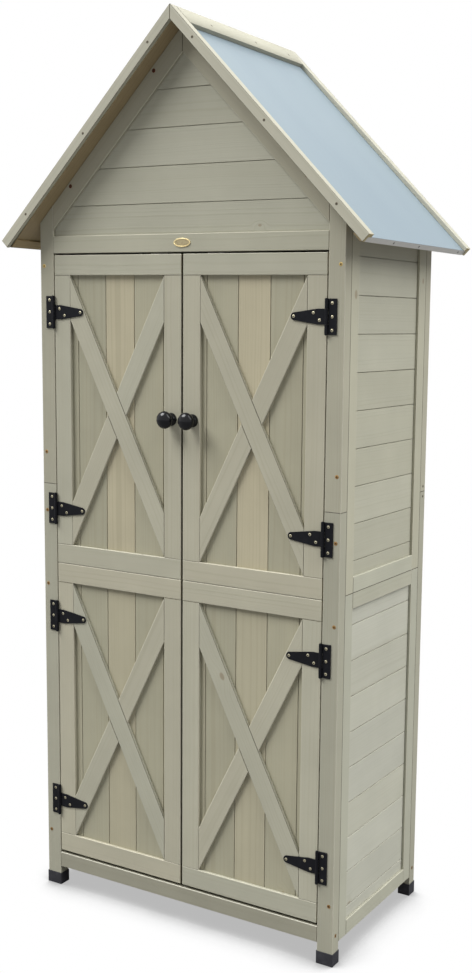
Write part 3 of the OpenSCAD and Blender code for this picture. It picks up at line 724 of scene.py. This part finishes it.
@dataclass
class SubAssembly:
    """Base of the shed's sub-assemblies: it turns CAD nodes and new meshes into finished pieces."""

    frame: dict
    surroundings: Surroundings
    body: str = BODY
    tone_spread: float = 0.8
    joint_width: float = 0.65 * MM
    joint_angle: float = 60.0
    shortest_edge: float = 9 * MM
    end_grain: float = 0.6

    def finish_piece(self, mesh: Mesh, name: str, finishes: tuple[str, ...], node: str = "",
                     slot: str = "brass_screws", smooth: float = 0.0) -> bpy.types.Object:
        """Makes an object of a mesh, which is freed, and lets it ride on the sub-assembly's body.

        Args:
            mesh: The piece's mesh, in the shed's frame.
            name: Name of the piece.
            finishes: Names of its finishes.
            node: CAD node that it stands for, which is hidden.
            slot: Not used.
            smooth: Angle in degrees under which its faces are shaded as one.

        Returns:
            The new object.
        """
        piece = add_object(name, mesh)
        for finish in finishes:
            piece.data.materials.append(material(finish))
        if smooth:
            piece.data.polygons.foreach_set("use_smooth", [True] * len(piece.data.polygons))
            piece.data.set_sharp_from_angle(angle=math.radians(smooth))
            piece.modifiers.new("face_weight", "WEIGHTED_NORMAL").keep_sharp = True
        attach(piece, self.body)
        if node:
            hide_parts(node)
        LOG.info("%s rides on %s with %d faces", name, self.body, len(piece.data.polygons))
        return piece

    def plane(self, node: str, finish: str, arris: float, deepest: float = math.inf) -> None:
        """Makes a timber piece of a CAD node: rounded edges, tight joints, and grain laid along each board.

        Args:
            node: Name of the CAD node.
            finish: Name of its finish.
            arris: Width of the rounding on its open edges.
            deepest: Where its faces stop in front and behind, to leave room for screw heads.
        """
        mesh = merged_copy(self.frame["nodes"][node])
        for vert in mesh.verts:
            vert.co.y = max(-deepest, min(deepest, vert.co.y))
        mark = mesh.faces.layers.float.new("edge")
        cut = mesh.faces.layers.float.new("cut")
        boards = self._read_boards(mesh, node)
        for face in mesh.faces:
            along = boards[face.verts[0].index].axes[0]
            face[cut] = 1.0 if abs(face.normal.dot(along)) > self.end_grain else 0.0
            # Faces that a sub-assembly names take painted shade.
            face[mark] = self.painted_shade(face)
        self._ease_edges(mesh, arris, mark)
        grain = mesh.verts.layers.float_vector.new("grain")
        shares = mesh.verts.layers.float_vector.new("board")
        boards = self._read_boards(mesh, node)
        for vert in mesh.verts:
            vert[grain] = boards[vert.index].place(vert.co)
            vert[shares] = boards[vert.index].shares
        self.finish_piece(mesh, f"planed_{node}", (finish,), node)

    def _ease_edges(self, mesh: Mesh, arris: float, mark: bmesh.types.BMLayerItem) -> None:
        """Rounds the open edges of a timber mesh, and then breaks the edges in its joints a little.

        Args:
            mesh: The mesh to change.
            arris: Width of the rounding on open edges.
            mark: Face layer that tells open edges, 1, from joints, -1.
        """
        bare = [e for e in sharp_edges(mesh, self.shortest_edge) if not self.surroundings.joined(e)]
        for face in round_edges(mesh, bare, arris, 3, True):
            face[mark] = 1.0
        jointed = sharp_edges(mesh, self.shortest_edge, self.joint_angle)
        for face in round_edges(mesh, jointed, self.joint_width, 1, False):
            face[mark] = -1.0

    def _read_boards(self, mesh: Mesh, node: str) -> dict[int, Board]:
        """Reads every solid of a mesh as a board.

        Args:
            mesh: The mesh to read.
            node: Name of the CAD node, which seeds the boards' random shares.

        Returns:
            The board of each point, by the point's index.
        """
        for elements in (mesh.verts, mesh.edges, mesh.faces):
            elements.index_update()
        luck = random.Random(node)
        boards = {}
        for part in loose_parts(mesh):
            board = self._read_board(part, luck)
            boards.update((vert.index, board) for vert in part)
        return boards

    def _read_board(self, part: list[Vert], luck: random.Random) -> Board:
        """Finds which way the grain of one solid runs: along its longest edge, under its widest face.

        Args:
            part: The points of the solid.
            luck: Source of its random shares.

        Returns:
            The board.
        """
        edges = sorted({e.index: e for v in part for e in v.link_edges}.items())
        longest = max((e for _, e in edges), key=lambda e: round(e.calc_length(), 5))
        along = (longest.verts[1].co - longest.verts[0].co).normalized()
        faces = sorted({f.index: f for v in part for f in v.link_faces}.items())
        sides = [f for _, f in faces if abs(f.normal.dot(along)) < 0.1]
        depth = max(sides, key=lambda f: round(f.calc_area(), 6)).normal.copy()
        middle = sum((v.co for v in part), Vector()) / len(part)
        tone = self.tone(middle, 0.5 + (luck.random() - 0.5) * self.tone_spread)
        return Board(middle, (along, depth.cross(along), depth), Vector((tone, luck.random(), luck.random())))

    def tone(self, middle: Vector, drawn: float) -> float:
        """The tone of a board from 0, grey, to 1, warm: plain chance unless a sub-assembly says more."""
        return drawn

    def painted_shade(self, face: Face) -> float:
        """The painted shade of a whole face, from 0, none, to -1, as dark as a joint: none unless a class says more."""
        return 0.0

    def edge(self, node: str, name: str, finishes: tuple[str, ...], width: float,
             shortest: float = 0.0) -> bpy.types.Object:
        """Makes a metal or plastic piece of a CAD node, with its edges broken and its curves smooth.

        Args:
            node: Name of the CAD node.
            name: Name of the new piece.
            finishes: Names of its finishes.
            width: Width of the rounding.
            shortest: Edges shorter than this stay sharp.

        Returns:
            The new object.
        """
        mesh = merged_copy(self.frame["nodes"][node])
        round_edges(mesh, sharp_edges(mesh, shortest), width, 2, False)
        return self.finish_piece(mesh, name, finishes, node, smooth=30.0)

    def group(self, name: str, head: Head, spots: list[Spot], **place: str) -> None:
        """Makes one piece of a group of equal fasteners, each turned by chance.

        Args:
            name: Name of the piece, which seeds the turns.
            head: What each head looks like.
            spots: Where the heads sit.
            place: The node that the piece stands for, or its slot, as finish_piece takes them.
        """
        single = head.build()
        pattern = bpy.data.meshes.new(f"{name}_pattern")
        single.to_mesh(pattern)
        single.free()
        luck = random.Random(name)
        mesh = bmesh.new()
        for spot in spots:
            start = len(mesh.verts)
            mesh.from_mesh(pattern)
            mesh.verts.ensure_lookup_table()
            bmesh.ops.transform(mesh, matrix=spot.matrix(luck.uniform(0.0, math.pi)), verts=mesh.verts[start:])
        bpy.data.meshes.remove(pattern)
        self.finish_piece(mesh, name, (head.finish, head.recess_finish), **place)

    def hinge_screws(self, node: str) -> None:
        """Draws the screws of the hinges in place of the CAD's plain ones.

        Args:
            node: Name of the CAD node of screws.
        """
        plain = merged_copy(self.frame["nodes"][node])
        spots = []
        for part in loose_parts(plain):
            low, high = (Vector(end(v.co[i] for v in part) for i in range(3)) for end in (min, max))
            middle = (low + high) / 2
            spots.append(Spot(Vector((middle.x, low.y + HINGE_HEAD.height, middle.z)), TO_FRONT))
        plain.free()
        self.group(f"{node.removesuffix('s')}_heads", HINGE_HEAD, spots, node=node)


@dataclass
class Carcass(SubAssembly):
    """Posts, panels, gables and rails of the cabinet."""

    frame_arris: float = 1.2 * MM
    board_arris: float = 0.5 * MM
    foot_edge: float = 1.0 * MM
    foot_shortest: float = 6 * MM
    side_reach: float = 0.3
    low_panel: float = 0.8
    low_tone_share: float = 0.4
    tone_share: float = 0.3
    tone_floor: float = 0.6
    posts: tuple[str, ...] = (
        "front_left_lower_post", "front_left_upper_post", "front_right_lower_post", "front_right_upper_post",
        "rear_lower_posts", "rear_upper_posts", "front_gable_rafters", "rear_gable_rafters")
    boards: tuple[str, ...] = (
        "left_panel_boards", "right_panel_boards", "rear_panel_boards", "front_gable_boards", "rear_gable_boards")

    def build(self) -> None:
        """Dresses the fixed timber of the cabinet and its foot caps."""
        self.plane("lintel", "stained_frame", self.frame_arris)
        for place in ("left", "right", "rear"):
            for level in ("lower", "upper"):
                self.plane(f"{place}_{level}_panel_frame", "stained_frame", self.frame_arris)
        for node in self.posts:
            self.plane(node, "stained_posts", self.frame_arris)
        self.plane("sill", "stained_sill", self.frame_arris)
        for node in self.boards:
            self.plane(node, "stained_cladding", self.board_arris)
        self.edge("foot_caps", "moulded_foot_caps", ("foot_plastic",), self.foot_edge, self.foot_shortest)
        self.plane("post_dowels", "bare_softwood", self.board_arris)

    def tone(self, middle: Vector, drawn: float) -> float:
        """Boards low on the sides are the greyest and palest: painted light, for the brighter light that falls low on
        the sides.
        """
        # The pale end of the cladding colours on low side boards is painted light.
        low = abs(middle.x) > self.side_reach and middle.z < self.low_panel
        return drawn * self.low_tone_share if low else drawn * self.tone_share + self.tone_floor


@dataclass
class Interior(SubAssembly):
    """Floor, shelves, their bearers and the door catches."""

    arris: float = 0.8 * MM
    timbers: tuple[str, ...] = ("floor_boards", "floor_bearers", "lower_shelf", "upper_shelf", "shelf_bearers")

    def build(self) -> None:
        """Dresses what shows when the doors are open."""
        for node in self.timbers:
            self.plane(node, "bare_softwood", self.arris)
        self.edge("door_catches", "moulded_door_catches", ("catch_plastic",), self.arris)


@dataclass
class Roof(SubAssembly):
    """Decks, steel sheets, bargeboards, ridge boards and battens of both slopes."""

    deck_arris: float = 0.6 * MM
    trim_arris: float = 1.0 * MM
    batten_arris: float = 0.7 * MM
    sheet_edge: float = 0.5 * MM
    sheet_shortest: float = 20 * MM
    screw_room: float = 0.5 * MM
    fold_lean: float = -0.3

    def build(self) -> None:
        """Dresses the roof."""
        for side in Side:
            self.plane(f"{side.value}_roof_deck", "deck_boards", self.deck_arris)
            sheet = self.edge(f"{side.value}_roof_sheet", f"folded_{side.value}_sheet", ("roof_steel", "painted_light_fold_steel"),
                              self.sheet_edge, self.sheet_shortest)
            # Faces that look downwards, the folded ends, take the paler steel of painted light.
            for face in sheet.data.polygons:
                face.material_index = 1 if face.normal.z < self.fold_lean else 0
        deepest = abs(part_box("front_left_bargeboard")[0].y) - self.screw_room
        for end in ("front", "rear"):
            for side in Side:
                self.plane(f"{end}_{side.value}_bargeboard", "stained_roof_trim", self.trim_arris, deepest)
        self.plane("ridge_boards", "stained_posts", self.trim_arris, deepest)
        self.plane("eave_battens", "deck_boards", self.batten_arris)


@dataclass
class Knob:
    """A turned knob: its stem as pairs of a share of the radius and one of the length, and its round crown."""

    radius: float
    length: float
    stem: tuple[tuple[float, float], ...] = ((0.75, 0.0), (0.75, 0.07), (0.72, 0.11), (0.6496, 0.19), (0.56, 0.26))
    crown_middle: float = 0.66
    crown_start: float = -58.0
    crown_steps: int = 16
    segments: int = 48

    def build(self) -> Mesh:
        """Spins the outline round Z, from the foot to the top of the crown.

        Returns:
            The knob, standing on Z = 0.
        """
        points = [Vector((share * self.radius, 0, rise * self.length)) for share, rise in self.stem]
        middle = self.crown_middle * self.length
        for step in range(self.crown_steps + 1):
            angle = math.radians(self.crown_start + step * (90.0 - self.crown_start) / self.crown_steps)
            rise = (self.length - middle) * math.sin(angle)
            points.append(Vector((self.radius * math.cos(angle), 0, middle + rise)))
        points[-1].x = 0.0
        mesh = bmesh.new()
        verts = [mesh.verts.new(p) for p in points]
        edges = [mesh.edges.new(pair) for pair in zip(verts, verts[1:])]
        bmesh.ops.spin(mesh, geom=verts + edges, cent=(0, 0, 0), axis=(0, 0, 1), angle=2 * math.pi,
                       steps=self.segments, use_merge=True)
        bmesh.ops.remove_doubles(mesh, verts=mesh.verts, dist=0.01 * MM)
        bmesh.ops.contextual_create(mesh, geom=[e for e in mesh.edges if e.is_boundary])
        bmesh.ops.recalc_face_normals(mesh, faces=mesh.faces)
        return mesh


@dataclass
class DoorLeaf(SubAssembly):
    """One leaf: its framed sections, braces, hinge straps and knob."""

    side: Side = Side.LEFT
    frame_arris: float = 1.2 * MM
    board_arris: float = 0.5 * MM
    brace_arris: float = 1.4 * MM
    plate_edge: float = 0.3 * MM
    strap_edge: float = 0.35 * MM
    warm_share: float = 0.25
    tone_share: float = 0.3
    outer_tone_and_shade: float = 0.05
    upper_tone: float = 0.75
    lower_tone: float = 0.35
    meeting_reach: float = 4 * MM
    meeting_shade: float = -0.7
    meeting_lean: float = -0.9

    def __post_init__(self) -> None:
        """Names the leaf's body."""
        self.body = f"{self.side.value}_leaf"

    def build(self) -> None:
        """Dresses the leaf."""
        name = self.side.value
        for level in ("upper", "lower"):
            self.plane(f"{name}_leaf_{level}_frame", "stained_leaf_frame", self.frame_arris)
        self.plane(f"{name}_leaf_boards", "stained_door_boards", self.board_arris)
        self.plane(f"{name}_leaf_braces", "stained_leaf_frame", self.brace_arris)
        self.edge(f"{name}_leaf_inner_plates", f"pressed_{name}_leaf_plates", ("zinc_plating",), self.plate_edge)
        self.edge(f"{name}_hinge_straps", f"coated_{name}_straps", ("hinge_coating",), self.strap_edge)
        low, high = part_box(f"{name}_knob")
        knob = Knob((high.x - low.x) / 2, high.y - low.y).build()
        seat_on(knob, f"{name}_knob")
        self.finish_piece(knob, f"turned_{name}_knob", ("knob_lacquer",), f"{name}_knob", smooth=50.0)
        self.hinge_screws(f"{name}_strap_screws")

    def tone(self, middle: Vector, drawn: float) -> float:
        """Boards in the middle of the leaf are the warmest and brightest, and the outer boards greyer and darker,
        partly by their own tone and partly as painted shade from the stiles and braces. The framing is as chance has
        it.

        Args:
            middle: Middle of the board.
            drawn: The tone that chance drew.

        Returns:
            The board's tone.
        """
        low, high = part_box(f"{self.side.value}_leaf_boards")
        centre = (low + high) / 2
        if middle.y < centre.y - 1 * MM:
            return drawn
        floor = self.upper_tone if middle.z > centre.z else self.lower_tone
        if abs(middle.x - centre.x) > self.warm_share * (high.x - low.x) / 2:
            floor = self.outer_tone_and_shade
        return drawn * self.tone_share + floor

    def painted_shade(self, face: Face) -> float:
        """Paints shade on the faces where the two leaves meet, in the narrow gap between them."""
        close = abs(face.calc_center_median().x) < self.meeting_reach
        return self.meeting_shade if close and face.normal.x * self.side.sign < self.meeting_lean else 0.0


@dataclass
class Hinges(SubAssembly):
    """The fixed half of the T hinges: post plates, pins and their screws."""

    plate_edge: float = 0.35 * MM
    pin_edge: float = 0.25 * MM

    def build(self) -> None:
        """Dresses the hinge plates and pins."""
        for side in Side:
            self.edge(f"{side.value}_hinge_plates", f"coated_{side.value}_plates", ("hinge_coating",), self.plate_edge)
        self.edge("hinge_pins", "coated_hinge_pins", ("hinge_coating",), self.pin_edge)
        self.hinge_screws("hinge_plate_screws")


@dataclass
class LintelPlate:
    """The blank oval plate on the lintel: a raised rim round a sunk field."""

    width: float
    height: float
    thickness: float
    rim: float = 1.9 * MM
    sink: float = 0.6 * MM
    slope: float = 0.5 * MM
    edge_width: float = 0.5 * MM
    segments: int = 64

    def build(self) -> Mesh:
        """Models the plate on Z = 0 with its face along +Z.

        Returns:
            The mesh, with the field in its second material.
        """
        mesh = bmesh.new()
        bmesh.ops.create_circle(mesh, cap_ends=True, radius=1.0, segments=self.segments)
        bmesh.ops.scale(mesh, vec=(self.width / 2, self.height / 2, 1.0), verts=mesh.verts)
        raised = new_verts(bmesh.ops.extrude_face_region(mesh, geom=mesh.faces[:]))
        bmesh.ops.translate(mesh, vec=(0, 0, self.thickness), verts=raised)
        bmesh.ops.recalc_face_normals(mesh, faces=mesh.faces)
        cap = [f for f in mesh.faces if f.normal.z > 0.9]
        bmesh.ops.inset_region(mesh, faces=cap, thickness=self.rim, depth=0.0)
        bmesh.ops.inset_region(mesh, faces=cap, thickness=self.slope, depth=-self.sink)
        for face in cap:
            face.material_index = 1
        outer = [
            e for e in mesh.edges
            if all(abs(v.co.z - self.thickness) < 0.01 * MM for v in e.verts) and e.calc_face_angle(0.0) > 1.0
        ]
        round_edges(mesh, outer, self.edge_width, 3, True)
        bmesh.ops.triangulate(mesh, faces=[f for f in mesh.faces if len(f.verts) > 8])
        mesh.normal_update()
        return mesh


@dataclass
class Ironmongery(SubAssembly):
    """The oval plate and the screws and nails of the carcass and roof."""

    top_screw_height: float = 1.395
    post_screw_heights: tuple[float, ...] = (0.995, 0.866, 0.701, 0.127)
    foot_screw_height: float = 0.062
    joint_screw_heights: tuple[float, ...] = (0.9145, 0.9365)
    front_inset: float = 10 * MM
    foot_inset: float = 12 * MM
    joint_inset: float = 11 * MM
    barge_shares: tuple[float, ...] = (0.12, 0.49, 0.845)
    barge_drop: float = 14 * MM
    barge_sink: float = 0.5 * MM
    rafter_reaches: tuple[float, ...] = (0.070, 0.287)
    rafter_drop: float = 11 * MM
    ridge_places: tuple[float, ...] = (-0.123, 0.042, 0.177)
    ridge_reach: float = 20 * MM
    nail_places: tuple[float, ...] = (-0.110, 0.003, 0.198)
    nail_drop: float = 6.5 * MM
    pitch: float = math.radians(45)

    def build(self) -> None:
        """Adds the oval plate and all visible fasteners."""
        low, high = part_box("lintel_plate")
        plate = LintelPlate(high.x - low.x, high.z - low.z, high.y - low.y).build()
        seat_on(plate, "lintel_plate")
        self.finish_piece(plate, "oval_plate", ("plate_brass", "plate_field"), "lintel_plate", smooth=40.0)
        self._screw_posts()
        reaches = [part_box("front_right_bargeboard")[1].x * share for share in self.barge_shares]
        barge_spots = self._gable_spots("right_bargeboard", reaches, self.barge_drop, self.barge_sink)
        rafter_spots = self._gable_spots("gable_rafters", self.rafter_reaches, self.rafter_drop, 0.0)
        self.group("bargeboard_screws", TRIM_HEAD, barge_spots)
        self.group("rafter_screws", RUST_HEAD, rafter_spots)
        self._screw_ridge()
        self._nail_sheets()

    def _screw_posts(self) -> None:
        """Draws the screws in the fronts of the front posts, low in the sides of all posts, and at the rear joints."""
        low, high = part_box("front_right_lower_post")
        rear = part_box("rear_lower_posts")[1].y
        x, heights = high.x - self.front_inset, (*self.post_screw_heights, self.top_screw_height)
        *fronts, top = (Vector((x, low.y, height)) for height in heights)
        depths = (low.y + self.foot_inset, rear - self.foot_inset)
        feet = [Vector((high.x, y, self.foot_screw_height)) for y in depths]
        joints = [Vector((high.x, rear - self.joint_inset, height)) for height in self.joint_screw_heights]
        self.group("post_screws", TIMBER_HEAD, both_sides(fronts, TO_FRONT) + both_sides(feet, TO_RIGHT))
        self.group("top_post_screws", GILT_HEAD, both_sides([top], TO_FRONT))
        self.group("post_joint_screws", TRIM_HEAD, both_sides(joints, TO_RIGHT))

    @staticmethod
    def _gable_spots(piece: str, reaches: list[float], drop: float, sink: float) -> list[Spot]:
        """Finds the screws in the faces of a sloping piece, front and rear.

        Args:
            piece: Name of the CAD node, after the word front or rear.
            reaches: How far from the middle they are.
            drop: How far under the piece's upper edge.
            sink: How far behind its CAD face.

        Returns:
            One spot for each screw.
        """
        spots = []
        for end, way in (("front", -1), ("rear", 1)):
            low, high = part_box(f"{end}_{piece}")
            y = (low.y if way < 0 else high.y) - way * sink
            spots += both_sides([Vector((x, y, high.z - x - drop)) for x in reaches], Vector((0, way, 0)))
        return spots

    def _screw_ridge(self) -> None:
        """Draws the screws in the ridge boards."""
        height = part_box("ridge_boards")[1].z - self.ridge_reach
        places = [Vector((self.ridge_reach, y, height)) for y in self.ridge_places]
        out = Vector((math.sin(self.pitch), 0, math.cos(self.pitch)))
        self.group("ridge_screws", TRIM_HEAD, both_sides(places, out))

    def _nail_sheets(self) -> None:
        """Draws the nails in the folded ends of the steel sheets."""
        low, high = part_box("right_roof_sheet")
        points = (v.co for v in self.frame["nodes"]["right_roof_sheet"].data.vertices)
        lowest_reach = min(points, key=lambda p: (round(p.z, 6), -p.x)).x
        corner = Vector((high.x, 0, low.z + (high.x - lowest_reach)))
        inward = Vector((-math.sin(self.pitch), 0, -math.cos(self.pitch)))
        places = [corner + inward * self.nail_drop + Vector((0, y, 0)) for y in self.nail_places]
        out = Vector((math.cos(self.pitch), 0, -math.sin(self.pitch)))
        self.group("sheet_nails", NAIL_HEAD, both_sides(places, out), slot="hinge_black")


@dataclass(frozen=True)
class PhotoCamera:
    """The camera that matches the photograph, whose picture is 472 by 973 pixels."""

    place: tuple[float, float, float] = (1.4651, -2.2283, 1.2944)
    azimuth: float = 28.974
    elevation: float = 7.821
    roll: float = 1.018
    focal_px: float = 1223.7
    centre_px: tuple[float, float] = (326.0, 486.5)
    picture_px: tuple[int, int] = (472, 973)
    sensor_mm: float = 36.0

    def build(self) -> None:
        """Adds the camera and gives it to the scene."""
        width, height = self.picture_px
        data = bpy.data.cameras.new("photo_camera")
        data.sensor_width = self.sensor_mm
        data.lens = self.focal_px / height * self.sensor_mm
        data.shift_x = (width / 2 - self.centre_px[0]) / height
        data.shift_y = (self.centre_px[1] - height / 2) / height
        data.clip_start, data.clip_end = 0.05, 100.0
        camera = bpy.data.objects.new("photo_camera", data)
        bpy.context.scene.collection.objects.link(camera)
        angles = (("Z", self.azimuth), ("X", 90.0 - self.elevation), ("Z", self.roll))
        turn, tilt, lean = (Matrix.Rotation(math.radians(angle), 4, axis) for axis, angle in angles)
        camera.matrix_world = Matrix.Translation(Vector(self.place)) @ turn @ tilt @ lean
        bpy.context.scene.camera = camera


@dataclass(frozen=True)
class Sun:
    """A soft lamp far away: where it shines from, how strong it is and how wide it looks, in degrees."""

    name: str
    azimuth: float
    elevation: float
    strength: float
    width: float

    def build(self) -> None:
        """Adds the lamp to the scene."""
        data = bpy.data.lights.new(self.name, "SUN")
        data.energy = self.strength
        data.angle = math.radians(self.width)
        lamp = bpy.data.objects.new(self.name, data)
        lamp.rotation_euler = (math.radians(90.0 - self.elevation), 0.0, math.radians(self.azimuth))
        bpy.context.scene.collection.objects.link(lamp)


@dataclass(frozen=True)
class Studio:
    """Pale floor, white backdrop and soft lamps."""

    ambient: float = 0.13
    floor_half: float = 20.0
    floor_bounce: float = 0.22
    contact_reach: float = 0.11
    contact_level: float = 0.48
    contact_range: tuple[float, float] = (0.48, 0.87)
    suns: tuple[Sun, ...] = (
        Sun("front_lamp", -50.0, 50.0, 4.05, 34.0),
        Sun("side_lamp", 98.0, 50.0, 3.80, 60.0),
        Sun("back_lamp", 225.0, 34.0, 1.00, 60.0),
    )

    def build(self) -> None:
        """Adds the floor, the backdrop, the lamps and the camera."""
        self._build_world()
        self._build_floor()
        for sun in self.suns:
            sun.build()
        PhotoCamera().build()
        bpy.context.scene.view_settings.view_transform = "Standard"

    def _build_world(self) -> None:
        """Makes a backdrop that is white to the eye and in reflections, and a softer light elsewhere."""
        world = bpy.data.worlds.new("backdrop")
        g = Graph(world)
        rays = g.node("LightPath", {}).outputs
        seen = g.math("MAXIMUM", rays["Is Glossy Ray"], rays["Is Transmission Ray"])
        seen = g.math("MAXIMUM", rays["Is Camera Ray"], seen)
        light = g.node("Background", {"Color": WHITE, "Strength": g.remap(seen, 0.0, 1.0, self.ambient, 1.0)})
        g.node("OutputWorld", {"Surface": light.outputs[0]})
        bpy.context.scene.world = world

    def _build_floor(self) -> None:
        """Makes the floor: white to the eye apart from a painted soft shadow near the shed, and darker in its bounced
        light.
        """
        mesh = bmesh.new()
        bmesh.ops.create_grid(mesh, x_segments=1, y_segments=1, size=self.floor_half)
        floor = add_object("studio_floor", mesh)
        g = Graph(bpy.data.materials.new("studio_floor"))
        paint = g.node("BsdfDiffuse", {"Color": (self.floor_bounce,) * 3 + (1.0,)})
        # The shadow near the shed is painted: the floor's glow dims where the shed occludes it.
        nearness = g.node("AmbientOcclusion", {"Distance": self.contact_reach})
        level = g.step(nearness.outputs["AO"], *self.contact_range, self.contact_level)
        glow = g.node("Emission", {"Strength": level})
        rays = g.node("LightPath", {})
        choice = g.node("MixShader", {0: rays.outputs["Is Camera Ray"], 1: paint.outputs[0], 2: glow.outputs[0]})
        g.node("OutputMaterial", {"Surface": choice.outputs[0]})
        floor.data.materials.append(g.owner)


def main() -> None:
    """Builds the shed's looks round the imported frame, sub-assembly by sub-assembly."""
    logging.basicConfig(level=logging.INFO, format="%(name)s: %(message)s")
    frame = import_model()
    Studio().build()
    shared = (frame, Surroundings(frame["nodes"]))
    for assembly in (Carcass, Interior, Roof, Hinges):
        assembly(*shared).build()
    for side in Side:
        DoorLeaf(*shared, side=side).build()
    Ironmongery(*shared).build()


if __name__ == "__main__":
    main()
